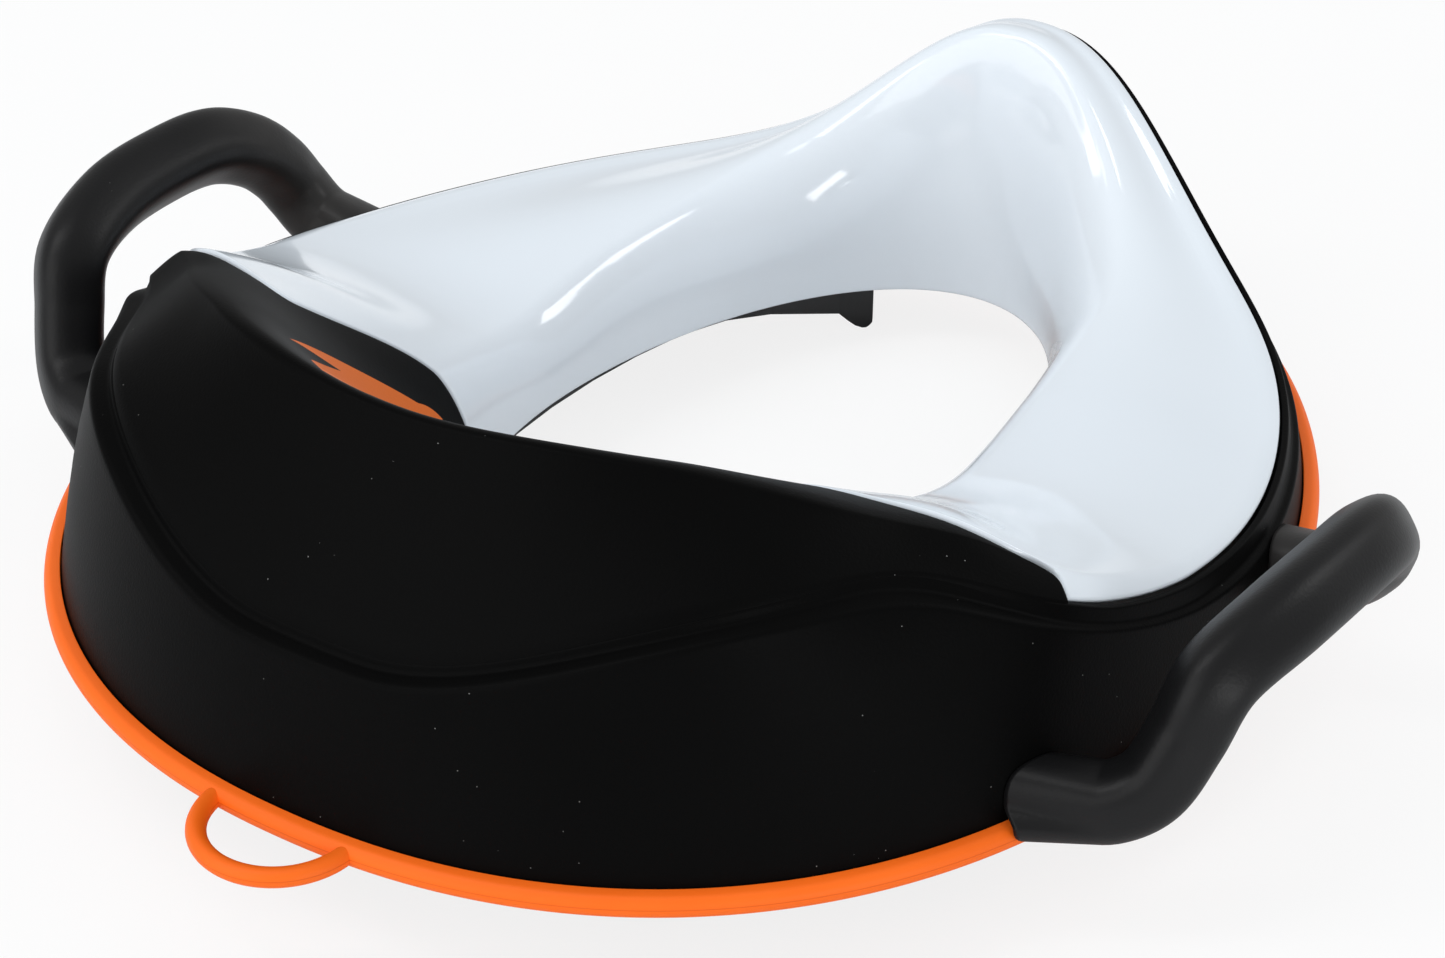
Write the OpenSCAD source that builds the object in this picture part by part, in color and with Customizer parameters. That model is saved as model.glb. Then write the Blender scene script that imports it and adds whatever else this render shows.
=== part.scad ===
// Child's toilet training seat: a glossy seat with a front splash guard, a moulded shell with a raised
// backrest, a soft non-slip rim with a hanging loop, a locating ring with fins and two side handles.
// X runs left to right, Y from the backrest (rear) to the splash guard (front), Z up.
// The origin lies on the surface that the fins stand on, under the middle of the rim's widest line.

/* [Base outline] */
// Half of the rim's width at its widest line
base_half_w = 157.5; // [140:0.5:175]
// Reach of the rim behind its widest line
base_rear = 171; // [150:1:190]
// Reach of the rim in front of its widest line
base_front = 190; // [160:1:200]
// Squareness of the rear half of the outline, 2 being an ellipse
rear_power = 2.18; // [2:0.01:2.5]
// Squareness of the front half of the outline
front_power = 1.93; // [1.8:0.01:2.3]
// Height of the rim's middle plane above the fins' tips
rim_h = 30; // [26:0.5:40]

/* [Opening] */
// Half of the opening's width at its lower edge
hole_half_w = 59.5; // [50:0.5:68]
// Reach of the opening in front of its middle
hole_front = 119; // [105:1:122]
// Reach of the opening behind its middle
hole_rear = 101; // [85:1:110]
// Distance of the opening's middle in front of the rim's widest line
hole_y = 29; // [15:0.5:34]
// Height of the opening's lower edge at its middle, above the rim's plane
hole_edge_h = -2.8; // [-5:0.1:2]
// Fall of the opening's lower edge towards the front, per millimetre
hole_edge_fall = 0.08; // [0.02:0.005:0.1]
// Width of the rounded lip at the sides
lip_w = 13; // [9:0.5:18]
// Height of the lip's top at the sides
lip_h = 20; // [15:0.5:26]
// Extra height of the lip where it meets the backrest
lip_rear_rise = 14; // [8:0.5:20]

/* [Seat] */
// Wall of the white seat
seat_wall = 2.6; // [2:0.1:3.2]
// Height of the seat's outer edge at its lowest, beside the guard
side_h = 15; // [12:0.5:22]
// Rise of the outer edge from there to the rear corners
wing_rise = 34; // [24:0.5:40]
// Length over which that rise fades
wing_run = 60; // [45:1:80]
// Width of the small roll inside the seat's outer edge
roll_w = 6; // [4:0.25:9]
// Height of the small roll
roll_h = 1.6; // [1:0.1:3]

/* [Splash guard] */
// Rise of the seat's outer edge at the guard
guard_edge_h = 49; // [35:0.5:60]
// Half-width of that rise
guard_half_w = 52; // [42:0.5:60]
// Rise of the guard's rounded top above its edge
guard_top_h = 1; // [0:0.5:8]
// Height of the lip at the guard's middle, above the side lip
guard_face_h = 50; // [40:0.5:60]
// Half-width over which the lip falls from there
guard_face_w = 50; // [40:0.5:58]
// Width of the lip at the guard's middle
guard_lip_w = 10; // [6:0.25:14]
// Extra width of the lip on the guard's flanks
flank_lip_w = 11; // [4:0.5:14]

/* [Backrest] */
// Height of the backrest's crest above the rim's plane
back_h = 93.5; // [80:0.5:105]
// Height of the rear corners, where the crest meets the skirt
corner_h = 45; // [38:0.5:52]
// Distance of the crest's middle from the rim's outline
crest_setback = 47.5; // [38:0.5:52]
// Height of the step line at the rear middle
step_mid_h = 42; // [34:0.5:48]
// Rise of the step line from the middle to the rear quarters
step_rise = 20.5; // [12:0.5:26]

/* [Shell] */
// Wall of the black shell
shell_wall = 2.5; // [2:0.1:3.2]
// Distance of the skirt's foot from the rim's outline
foot_inset = 4.4; // [3.8:0.1:6]
// Lean of the skirt from upright at the rear and the sides, in degrees
skirt_lean = 10.2; // [7:0.1:13]
// Lean of the skirt under the splash guard, in degrees
front_lean = 3; // [1:0.1:8]
// Extra inward curve of the skirt's top at the rear quarters
shoulder_in = 6.8; // [2:0.1:9]
// Depth of the step between the skirt and the band beside the seat
step_d = 2; // [1:0.1:3]
// Depth of the step between the skirt and the backrest's panel
step_rear_d = 4; // [2:0.1:6]
// Height of the band above the step beside the seat
band_h = 6.5; // [5:0.25:8]
// Height of the band above the step behind the backrest
band_rear_h = 3; // [2:0.25:4]
// Width of the band's top beside the seat's edge
band_t = 1.8; // [1.4:0.1:2.4]
// Width of the ledge that carries the seat's edge
ledge_w = 7; // [5:0.5:9]

/* [Rim] */
// Height of the rim's bead
bead_h = 7; // [6:0.25:9]
// Width of the rim's flat underside
sole_w = 10; // [8:0.5:12]
// Radius of the hanging loop at its strand's middle
loop_r = 19.5; // [15:0.5:24]
// Thickness of the loop's strand
loop_t = 5; // [4:0.25:6]

/* [Handles] */
// Thickness of the handle's tube
grip_t = 20; // [17:0.1:21]

/* [Locating ring] */
// Wall of the locating walls
guide_wall = 2.5; // [2:0.1:3.5]
// Distance of the locating walls from the opening's lower edge
guide_gap = 12; // [9:0.5:14]
// Width of the ring's plate
plate_w = 20; // [17:0.5:24]
// Thickness of the ring's plate
plate_t = 2.5; // [2:0.1:3.5]
// Depth of the locating walls below the rim's plane at the sides
guide_d = 15; // [12:0.5:16]
// Width of a fin at its root
fin_w = 12; // [9:0.5:15]

/* [Fits] */
// Clearance between parts that seat on each other
fit_gap = 0.3; // [0.2:0.05:0.5]

/* [Hidden] */
$fn = 64;
hole_mid = [0, hole_y];
// Steps along the profile: outer panel, face and lip
panel_steps = 4;
face_steps = 6;
lip_steps = 6;
profile_steps = panel_steps + face_steps + lip_steps;
seat_rings = 52;
back_rings = 28;
base_rings = 80;

// Small helpers
function mix(a, b, f) = a + (b - a) * f;
function clamp01(x) = max(0, min(1, x));
function smooth(x) = let (c = clamp01(x)) c * c * (3 - 2 * c);
function signed_pow(v, p) = sign(v) * pow(abs(v), p);
function softer_min(a, b, k) = min(a, b) - k * ln(1 + exp(-abs(a - b) / k));
function unit(v) = v / norm(v);

// The rim's outline in plan at angle t, 90 degrees being the front
function rim_pt(t) =
    let (front = sin(t) >= 0, p = 2 / (front ? front_power : rear_power))
    [base_half_w * signed_pow(cos(t), p), (front ? base_front : base_rear) * signed_pow(sin(t), p)];
// The same angle folded onto the right-hand side, -90 at the rear to 90 at the front
function side_angle(t) = asin(sin(t));
// Every section lies on the ray from the opening's middle to the rim's outline
function ray(t) = rim_pt(t) - hole_mid;
function reach(t) = norm(ray(t));
function plan_pt(t, r) = hole_mid + unit(ray(t)) * r;
function hole_r(t) =
    let (d = unit(ray(t)))
    1 / norm([d.x / hole_half_w, d.y / (d.y > 0 ? hole_front : hole_rear)]);
function at(t, r, z) = let (p = plan_pt(t, r)) [p.x, p.y, z + rim_h];
// Distance of the skirt's outer face from the rim's outline at height z over the rim's plane. At the rear
// quarters the skirt's top curves inward
shoulder_t = -33;
shoulder_span = 13.2;
shoulder_h = 58;
function skirt_in(t, z) =
    foot_inset + z * tan(mix(skirt_lean, front_lean, smooth((side_angle(t) - 25) / 45)))
    + shoulder_in * pow(max(0, z) / shoulder_h, 3.3)
        * exp(-pow((side_angle(t) - shoulder_t) / shoulder_span, 2));

// How far a section belongs to the backrest, 1 at the rear and 0 from just ahead of the rear corners
backrest_end = 8;
backrest_start = -45;
function backness(t) = smooth((backrest_end - side_angle(t)) / (backrest_end - backrest_start));
// The edge line: the seat's outer edge, and behind the backrest the panel's lower edge
edge_setback = 12;
edge_blend = 14;
wing_y = -48;
step_flat_w = 15;
step_run = 90;
function seat_line(p) =
    side_h + wing_rise * exp((wing_y - p.y) / wing_run)
    + guard_edge_h * exp(-pow(abs(p.x) / guard_half_w, 2.3)) * smooth(p.y / 100);
function back_line(p) =
    step_mid_h + band_rear_h + step_rise * smooth((abs(p.x) - step_flat_w) / step_run) + max(0, p.y);
function edge_z(t) =
    let (p = plan_pt(t, reach(t) - edge_setback))
    softer_min(back_line(p), seat_line(p), edge_blend);
function step_z(t) = edge_z(t) - mix(band_h, band_rear_h, backness(t));
function step_in(t) = mix(step_d, step_rear_d, smooth((-10 - side_angle(t)) / 25));

// The backrest's crest: angles at which it leaves the seat's edge and reaches its full setback, angles
// between which its height passes from the seat's edge to the backrest, and its line seen from behind
crest_start = -10.4;
crest_full = -59.4;
rise_start = 3.9;
rise_full = -37.5;
crest_power = 2.94;
corner_in = 19.5;
// Small swell of the crest at the rear corners
swell_h = 3;
swell_t = -22.7;
swell_span = 8;
// How the lip widens on the guard's flanks, and the slopes at which the face runs into the lip
flank_t = 64;
flank_span = 18;
seat_fall = 12;
back_fall = 52;
flank_fall = 16;
// The seat and the backrest share one skin: from the edge E over the crest K and the lip L to the
// opening's lower edge H, each joined by a Bezier curve in the section's plane
function bez2(a, b, c, f) = mix(mix(a, b, f), mix(b, c, f), f);
function bez3(a, b, c, d, f) = mix(bez2(a, b, c, f), bez2(b, c, d, f), f);
function guard_at(x, w, p, y) = exp(-pow(abs(x) / w, p)) * smooth(y / 60);
function skin_marks(t, edge_in) =
    let (
        ez = edge_z(t),
        e_in = skirt_in(t, ez) + step_in(t) + edge_in,
        back = backness(t),
        er = reach(t) - e_in,
        a = side_angle(t),
        set_back = smooth((crest_start - a) / (crest_start - crest_full)),
        kr = reach(t) - mix(e_in + roll_w, crest_setback, set_back),
        kp = plan_pt(t, kr),
        along = min(1, abs(kp.x) / (base_half_w - corner_in)),
        back_z = corner_h + (back_h - corner_h) * (1 - pow(along, crest_power)),
        seat_z = ez + roll_h + guard_top_h * guard_at(kp.x, 30, 2, kp.y),
        kz = mix(seat_z, back_z, smooth((rise_start - a) / (rise_start - rise_full)))
            + swell_h * exp(-pow((a - swell_t) / swell_span, 2)),
        hr = hole_r(t),
        hp = plan_pt(t, hr),
        hz = hole_edge_h - hole_edge_fall * (hp.y - hole_y),
        flank = exp(-pow((a - flank_t) / flank_span, 2)),
        lw = mix(lip_w, guard_lip_w, smooth((hp.y - 90) / 50)) + flank_lip_w * flank,
        lp = plan_pt(t, hr + lw),
        lz = lip_h + lip_rear_rise * smooth((30 - lp.y) / 70)
            + guard_face_h * guard_at(lp.x, guard_face_w, 2.2, lp.y),
        fall = mix(seat_fall, back_fall, back) - flank_fall * flank
    )
    [[er, ez], [kr, kz], [hr + lw, lz], [hr, hz], [cos(fall), -sin(fall)], back];
function skin_2d(t, u, edge_in) =
    let (
        m = skin_marks(t, edge_in),
        e = m[0],
        k = m[1],
        l = m[2],
        h = m[3],
        down = [-m[4].x, m[4].y],
        s = u * profile_steps,
        run = k.x - l.x,
        drop = l.y - h.y,
        bulge = [mix(e.x, k.x, mix(0.45, 0.94, m[5])), mix(e.y, k.y, mix(1, 0.85, m[5]))]
    )
    s < panel_steps ? bez2(e, bulge, k, s / panel_steps)
    : s < panel_steps + face_steps
        ? bez3(k, k - [run * 0.3, 1.3 * m[5]], l - down * run * 0.4, l, (s - panel_steps) / face_steps)
    : bez3(l, l + down * (l.x - h.x) * 0.5, h + [0, drop * 0.5], h,
        (s - panel_steps - face_steps) / lip_steps);
function skin(t, u, edge_in) = let (q = skin_2d(t, u, edge_in)) at(t, q.x, q.y);
function skin_normal(t, u, edge_in) =
    let (
        du = 0.004,
        dt = 0.2,
        u0 = max(0, u - du),
        u1 = min(1, u + du)
    )
    unit(cross(skin(t + dt, u, edge_in) - skin(t - dt, u, edge_in),
        skin(t, u1, edge_in) - skin(t, u0, edge_in)));
// The parting between seat and backrest, as an angle that changes along the profile
function parting(u) =
    -16.5 - 27.6 * pow(smooth(u / 0.42), 2.4)
    + 9.5 * smooth((u - 0.38) / 0.25) - 6.4 * smooth((u - 0.63) / 0.37);

// A closed wall of even thickness under a grid of points
module wall(grid, normals, thickness) {
    n = len(grid);
    m = len(grid[0]);
    lower = [for (i = [0:n - 1]) [for (j = [0:m - 1]) grid[i][j] - normals[i][j] * thickness]];
    points = [for (g = [grid, lower]) for (row = g) for (p = row) p];
    function at_top(i, j) = i * m + j;
    function at_low(i, j) = n * m + i * m + j;
    faces = [
        for (i = [0:n - 2]) for (j = [0:m - 2]) each [
            [at_top(i, j), at_top(i, j + 1), at_top(i + 1, j + 1)],
            [at_top(i, j), at_top(i + 1, j + 1), at_top(i + 1, j)],
            [at_low(i, j), at_low(i + 1, j + 1), at_low(i, j + 1)],
            [at_low(i, j), at_low(i + 1, j), at_low(i + 1, j + 1)]
        ],
        for (j = [0:m - 2]) each [
            [at_top(0, j), at_low(0, j), at_low(0, j + 1)],
            [at_top(0, j), at_low(0, j + 1), at_top(0, j + 1)],
            [at_top(n - 1, j), at_low(n - 1, j + 1), at_low(n - 1, j)],
            [at_top(n - 1, j), at_top(n - 1, j + 1), at_low(n - 1, j + 1)]
        ],
        for (i = [0:n - 2]) each [
            [at_top(i, 0), at_low(i + 1, 0), at_low(i, 0)],
            [at_top(i, 0), at_top(i + 1, 0), at_low(i + 1, 0)],
            [at_top(i, m - 1), at_low(i, m - 1), at_low(i + 1, m - 1)],
            [at_top(i, m - 1), at_low(i + 1, m - 1), at_top(i + 1, m - 1)]
        ]
    ];
    polyhedron(points, faces, convexity = 10);
}

// A closed ring from one section per angle, each section a loop of points
module ring(sections) {
    n = len(sections);
    m = len(sections[0]);
    points = [for (s = sections) for (p = s) p];
    faces = [
        for (i = [0:n - 1]) for (j = [0:m - 1])
            let (i2 = (i + 1) % n, j2 = (j + 1) % m) each [
                [i * m + j, i * m + j2, i2 * m + j2],
                [i * m + j, i2 * m + j2, i2 * m + j]
            ]
    ];
    polyhedron(points, faces, convexity = 10);
}

// Angles of the seat's rings, closer together at the guard
function seat_angle(i, u) =
    let (s = 2 * i / seat_rings - 1, half = 90 - parting(u) - 0.12)
    90 + half * (s - 0.12 * sin(180 * s));
module seat() {
    edge_in = band_t + fit_gap;
    grid = [for (i = [0:seat_rings]) [for (j = [0:profile_steps])
        let (u = j / profile_steps) skin(seat_angle(i, u), u, edge_in)]];
    normals = [for (i = [0:seat_rings]) [for (j = [0:profile_steps])
        let (u = j / profile_steps) skin_normal(seat_angle(i, u), u, edge_in)]];
    color([0.87, 0.9, 0.93]) wall(grid, normals, seat_wall);
}

// Skirt, step line, band and the ledge that carries the seat, as one section
function skirt_section(t) =
    let (
        foot = -1,
        sz = step_z(t),
        ez = edge_z(t),
        low_z = 0.5 * sz,
        high_z = 0.8 * sz,
        band_in = skirt_in(t, ez) + step_in(t),
        seat_in = band_in + band_t,
        m = skin_marks(t, band_t + fit_gap),
        room = m[0].x - m[2].x - seat_wall - 1.5,
        shelf = min(ledge_w, max(1.5, room)),
        shelf_z = ez - seat_wall - fit_gap,
        r = reach(t)
    )
    [
        at(t, r - skirt_in(t, foot), foot),
        at(t, r - skirt_in(t, low_z), low_z),
        at(t, r - skirt_in(t, high_z), high_z),
        at(t, r - skirt_in(t, sz - 1.5), sz - 1.5),
        at(t, r - skirt_in(t, sz) - 0.7, sz),
        at(t, r - skirt_in(t, sz) - step_in(t), sz + 0.7),
        at(t, r - band_in, ez),
        at(t, r - seat_in, ez),
        at(t, r - seat_in, shelf_z),
        at(t, r - seat_in - shelf, shelf_z - 1.2),
        at(t, r - seat_in - shelf, shelf_z - 3),
        at(t, r - band_in - shell_wall, shelf_z - 5),
        at(t, r - skirt_in(t, low_z) - shell_wall, min(low_z, shelf_z - 6)),
        at(t, r - skirt_in(t, 2.8) - shell_wall, 2.8),
        at(t, r - skirt_in(t, foot) - shell_wall, foot)
    ];
module backrest() {
    sink = 3;
    grid = [for (i = [0:back_rings]) [for (j = [0:profile_steps])
        let (u = j / profile_steps, half = 90 + parting(u) - 0.12)
        skin(-90 + half * (2 * i / back_rings - 1), u, 0.4) - (j == 0 ? [0, 0, sink] : [0, 0, 0])]];
    normals = [for (i = [0:back_rings]) [for (j = [0:profile_steps])
        let (u = j / profile_steps, half = 90 + parting(u) - 0.12)
        skin_normal(-90 + half * (2 * i / back_rings - 1), u, 0.4)]];
    wall(grid, normals, shell_wall);
}
module outer_shell() {
    color([0.06, 0.06, 0.065]) union() {
        ring([for (i = [0:base_rings - 1]) skirt_section(360 * i / base_rings)]);
        backrest();
    }
}

// Height of the bead's upper lip, which lies against the skirt
lip_z = 2.9;
function rim_section(t) =
    let (
        low = -bead_h / 2,
        groove_z = -1 - fit_gap,
        r = reach(t)
    )
    [
        at(t, r - 2.2, low),
        at(t, r - 0.7, low + 1.1),
        at(t, r, low + 2.9),
        at(t, r - 0.5, 1.2),
        at(t, r - 1.9, 2.5),
        at(t, r - skirt_in(t, lip_z) + fit_gap, lip_z),
        at(t, r - skirt_in(t, groove_z) + fit_gap, groove_z),
        at(t, r - skirt_in(t, groove_z) - shell_wall - fit_gap, groove_z),
        at(t, r - skirt_in(t, 1.5) - shell_wall - fit_gap, 1.5),
        at(t, r - 2.2 - sole_w + 0.4, 1.2),
        at(t, r - 2.2 - sole_w - 0.4, low + 0.6),
        at(t, r - 2.2 - sole_w, low)
    ];
module non_slip_rim() {
    loop_mid = -(base_rear - 3);
    color([0.98, 0.42, 0.12]) union() {
        ring([for (i = [0:base_rings - 1]) rim_section(360 * i / base_rings)]);
        translate([0, loop_mid, rim_h - 0.4])
            rotate([0, 0, 180])
                rotate_extrude(angle = 180)
                    translate([loop_r, 0])
                        circle(d = loop_t);
    }
}

// Plate round the opening with locating walls that end in fins. Its angle a runs on the opening's
// ellipse, and every section is taken in the plane through the opening's middle
front_fin_a = 61;
rear_fin_a = -58;
function oval_pt(a, offset_by) =
    let (along = sin(a) > 0 ? hole_front : hole_rear)
    [(hole_half_w + offset_by) * cos(a), hole_y + (along + offset_by) * sin(a)];
// Length along the wall between a and the nearer fin's outer side, negative beyond it
function to_fin(a) =
    let (
        s = side_angle(a),
        end = s > 0 ? front_fin_a : rear_fin_a,
        inside = s > rear_fin_a && s < front_fin_a
    )
    (inside ? 1 : -1) * norm(oval_pt(s, guide_gap) - oval_pt(end, guide_gap));
// Height of the wall's lower edge over the rim's plane
function guide_low(a, plate_z) =
    let (
        s = to_fin(a),
        y = oval_pt(a, guide_gap).y,
        wall_low = -guide_d - 7 * smooth((y - 90) / 50) - 4 * smooth((-20 - y) / 45),
        tip = -rim_h + 1.6 * (1 - smooth(s / 1.6)),
        fin = mix(tip, wall_low, smooth((s - 2.5) / fin_w))
    )
    s < 0 ? plate_z - 1.5 : s > fin_w + 2.5 ? wall_low : fin;
function ring_section(a) =
    let (
        p = oval_pt(a, 0),
        low = hole_edge_h - hole_edge_fall * (p.y - hole_y) + 0.6,
        foot = guide_low(a, low),
        pts = [
            [seat_wall + 3 * fit_gap, low],
            [guide_gap, low],
            [guide_gap, foot],
            [guide_gap + guide_wall, foot],
            [guide_gap + guide_wall, low],
            [plate_w, low],
            [plate_w, low + plate_t],
            [seat_wall + 3 * fit_gap, low + plate_t]
        ]
    )
    [for (q = pts) let (o = oval_pt(a, q.x)) [o.x, o.y, q.y + rim_h]];
// Angles of the sections, dense at the fins
function fin_angles(end, way) = [for (d = [-0.05, 0.05, 0.6, 1.2, 2, 3.4, 4.8, 6.5]) end - way * d];
ring_right = concat([for (a = [-90:8:-66]) a], fin_angles(rear_fin_a, -1), [for (a = [-46:8:42]) a],
    [for (d = [7:-1:0]) fin_angles(front_fin_a, 1)[d]], [for (a = [66:8:82]) a]);
module locating_ring() {
    left = [for (i = [0:len(ring_right) - 1]) 180 - ring_right[len(ring_right) - 1 - i]];
    angles = concat(ring_right, [90], [for (a = left) if (a < 269.9) a]);
    color([0.07, 0.07, 0.075]) ring([for (a = angles) ring_section(a)]);
}

// A handle is one tube along a smooth curve from its rear foot over the grip to its front foot.
// Each point is [x, y, height over the rim's plane, thickness as a share of the grip's]
grip_x = base_half_w + 23;
rear_foot = [base_half_w - 20, -64.5, 6.8, 1];
front_foot = [base_half_w - 14, 48.5, 7.8, 1];
// Height and width of a foot where it meets the shell, as shares of the grip's thickness
foot_shape = [0.84, 1.12];
handle_pts = [
    [base_half_w - 7.5, -63.5, 6, 0.92],
    [base_half_w + 1.5, -61, 7, 0.9],
    [base_half_w + 9, -56, 12.5, 0.9],
    [base_half_w + 13.5, -50, 24.5, 0.91],
    [base_half_w + 17, -42.5, 38, 0.95],
    [grip_x - 1.5, -22, 43.3, 1],
    [grip_x, 2, 43.3, 1],
    [grip_x - 0.5, 20, 41, 1],
    [base_half_w + 19.5, 33, 35, 0.97],
    [base_half_w + 16.5, 41, 27, 0.94],
    [base_half_w + 13, 45, 19, 0.92],
    [base_half_w + 6.5, 46.5, 12, 0.92],
    [base_half_w - 3.5, 47.5, 8.5, 0.92]
];
tube_sides = 16;
function spline(pts, i, f) =
    let (
        n = len(pts),
        a = pts[max(0, i - 1)],
        b = pts[i],
        c = pts[i + 1],
        d = pts[min(n - 1, i + 2)]
    )
    0.5 * (2 * b + (c - a) * f + (2 * a - 5 * b + 4 * c - d) * f * f
        + (3 * b - a - 3 * c + d) * f * f * f);
function sweep_frames(path, i, side, out) =
    i == len(path) ? out
    : let (
        along = unit(path[min(len(path) - 1, i + 1)] - path[max(0, i - 1)]),
        flat = unit(side - along * (side * along))
    )
    sweep_frames(path, i + 1, flat, concat(out, [[flat, cross(along, flat)]]));
// The section is a square with well rounded corners
section_power = 2.8;
function section_radius(a) =
    pow(pow(abs(cos(a)), section_power) + pow(abs(sin(a)), section_power), -1 / section_power);
function tube_ring(p, frame, shape) =
    [for (k = [0:tube_sides - 1])
        let (a = 360 * k / tube_sides, r = section_radius(a) * grip_t / 2)
        p + r * (frame[0] * cos(a) * shape.x + frame[1] * sin(a) * shape.y)];
// The angle whose section passes through a point on the right-hand side
function angle_through(p, low = -90, high = 90, n = 16) =
    let (mid = (low + high) / 2, q = ray(mid), ahead = q.x * (p.y - hole_mid.y) > q.y * (p.x - hole_mid.x))
    n == 0 ? mid
    : ahead ? angle_through(p, mid, high, n - 1)
    : angle_through(p, low, mid, n - 1);
// Nearest that a handle comes to the opening's middle at angle t: the skirt, or the bead below it
bead_clear = 1.4;
function keep_out(t, z) =
    reach(t) + mix(fit_gap, -skirt_in(t, z), smooth((z - lip_z - bead_clear) / 2)) + fit_gap;
// A point moved within its section until it rests there, and a point moved only if it is too near
function seated(p) = let (t = angle_through(p)) at(t, keep_out(t, p.z), p.z);
function cleared(p) =
    norm([p.x, p.y] - hole_mid) < keep_out(angle_through(p), p.z) ? seated(p) : [p.x, p.y, p.z + rim_h];
module tube(rings) {
    n = len(rings);
    sides = len(rings[0]);
    half = sides / 2;
    last = (n - 1) * sides;
    points = [for (r = rings) for (p = r) p];
    faces = [
        for (i = [0:n - 2]) for (k = [0:sides - 1])
            let (k2 = (k + 1) % sides) each [
                [i * sides + k, (i + 1) * sides + k2, i * sides + k2],
                [i * sides + k, (i + 1) * sides + k, (i + 1) * sides + k2]
            ],
        [0, 1, sides - 1],
        [last + sides - 1, last + 1, last],
        [half - 1, half, half + 1],
        [last + half + 1, last + half, last + half - 1],
        for (k = [1:half - 2]) each [
            [k, k + 1, sides - k - 1],
            [k, sides - k - 1, sides - k],
            [last + sides - k - 1, last + k + 1, last + k],
            [last + sides - k, last + sides - k - 1, last + k]
        ]
    ];
    polyhedron(points, faces, convexity = 6);
}
module handle() {
    steps = 3;
    joints = [for (i = [0:len(handle_pts) - 2]) for (s = [0:steps - 1]) spline(handle_pts, i, s / steps)];
    line = concat([rear_foot], joints, [handle_pts[len(handle_pts) - 1], front_foot]);
    path = [for (q = line) [q.x, q.y, q.z]];
    frames = sweep_frames(path, 0, [0, 0, 1], []);
    last = len(line) - 1;
    tube([for (i = [0:last])
        let (is_foot = i == 0 || i == last, shape = is_foot ? foot_shape : [line[i][3], line[i][3]])
        [for (p = tube_ring(path[i], frames[i], shape)) is_foot ? seated(p) : cleared(p)]]);
}
module right_handle() {
    color([0.07, 0.07, 0.075]) handle();
}
module left_handle() {
    color([0.07, 0.07, 0.075]) mirror([1, 0, 0]) handle();
}

seat();
outer_shell();
non_slip_rim();
locating_ring();
left_handle();
right_handle();
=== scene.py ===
import math

import bpy
import numpy as np
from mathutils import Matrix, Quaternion, Vector


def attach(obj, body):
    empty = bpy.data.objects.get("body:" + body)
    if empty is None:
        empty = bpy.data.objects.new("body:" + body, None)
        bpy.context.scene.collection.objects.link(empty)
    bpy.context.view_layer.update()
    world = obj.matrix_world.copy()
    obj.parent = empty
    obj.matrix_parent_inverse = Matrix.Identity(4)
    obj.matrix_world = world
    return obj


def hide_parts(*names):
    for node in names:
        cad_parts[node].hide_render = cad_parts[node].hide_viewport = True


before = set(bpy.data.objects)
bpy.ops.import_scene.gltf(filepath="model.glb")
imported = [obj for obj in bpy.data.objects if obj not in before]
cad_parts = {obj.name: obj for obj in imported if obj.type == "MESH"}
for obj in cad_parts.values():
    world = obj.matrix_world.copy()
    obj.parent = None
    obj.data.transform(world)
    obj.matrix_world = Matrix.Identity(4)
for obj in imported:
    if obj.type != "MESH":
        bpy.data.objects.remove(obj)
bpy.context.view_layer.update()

MM = 0.001

# Base outline, in millimetres from the middle of the rim's widest line
BASE_HALF_W = 157.5
BASE_REAR = 171.0
BASE_FRONT = 190.0
REAR_POWER = 2.18
FRONT_POWER = 1.93
RIM_H = 30.0

# Opening and its rounded lip
HOLE_HALF_W = 59.5
HOLE_FRONT = 119.0
HOLE_REAR = 101.0
HOLE_Y = 29.0
HOLE_EDGE_H = -2.8
HOLE_EDGE_FALL = 0.08
LIP_W = 13.0
LIP_H = 20.0
LIP_REAR_RISE = 14.0
LIP_RISE_Y = 30.0
LIP_RISE_RUN = 70.0
GUARD_LIP_Y = 90.0
GUARD_LIP_RUN = 50.0

# Seat, splash guard and backrest
SEAT_WALL = 2.6
SIDE_H = 15.0
WING_RISE = 34.0
WING_RUN = 60.0
ROLL_W = 6.0
ROLL_H = 1.6
GUARD_EDGE_H = 49.0
GUARD_HALF_W = 52.0
GUARD_EDGE_POWER = 2.3
GUARD_EDGE_RUN = 100.0
GUARD_TOP_H = 1.0
GUARD_TOP_W = 30.0
GUARD_TOP_POWER = 2.0
GUARD_FACE_H = 50.0
GUARD_FACE_W = 50.0
GUARD_FACE_POWER = 2.2
GUARD_RUN = 60.0
GUARD_LIP_W = 10.0
FLANK_LIP_W = 11.0
BACK_H = 93.5
CORNER_H = 45.0
CREST_SETBACK = 47.5
STEP_MID_H = 42.0
STEP_RISE = 20.5
BACKREST_END = 8.0
BACKREST_START = -45.0

# Edge line, crest and lip: where they change, in millimetres and in degrees round the outline
EDGE_SETBACK = 12.0
EDGE_BLEND = 14.0
WING_Y = -48.0
STEP_FLAT_W = 15.0
STEP_RUN = 90.0
CREST_START = -10.4
CREST_FULL = -59.4
RISE_START = 3.9
RISE_FULL = -37.5
CREST_POWER = 2.94
CORNER_IN = 19.5
SWELL_H = 3.0
SWELL_T = -22.7
SWELL_SPAN = 8.0
CREST_DIPS = ((2.8, -90.0, 16.0), (2.8, -33.0, 8.0))  # depth, angle and span of each
FLANK_T = 64.0
FLANK_SPAN = 18.0
SEAT_FALL = 12.0
BACK_FALL = 52.0
FLANK_FALL = 16.0

# Places along the skin's profile, which runs from 0 at the outer edge to 1 at the opening's lower edge
CREST_U = 0.25
LIP_U = 0.625
CREST_SOFT = 0.028

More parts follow.
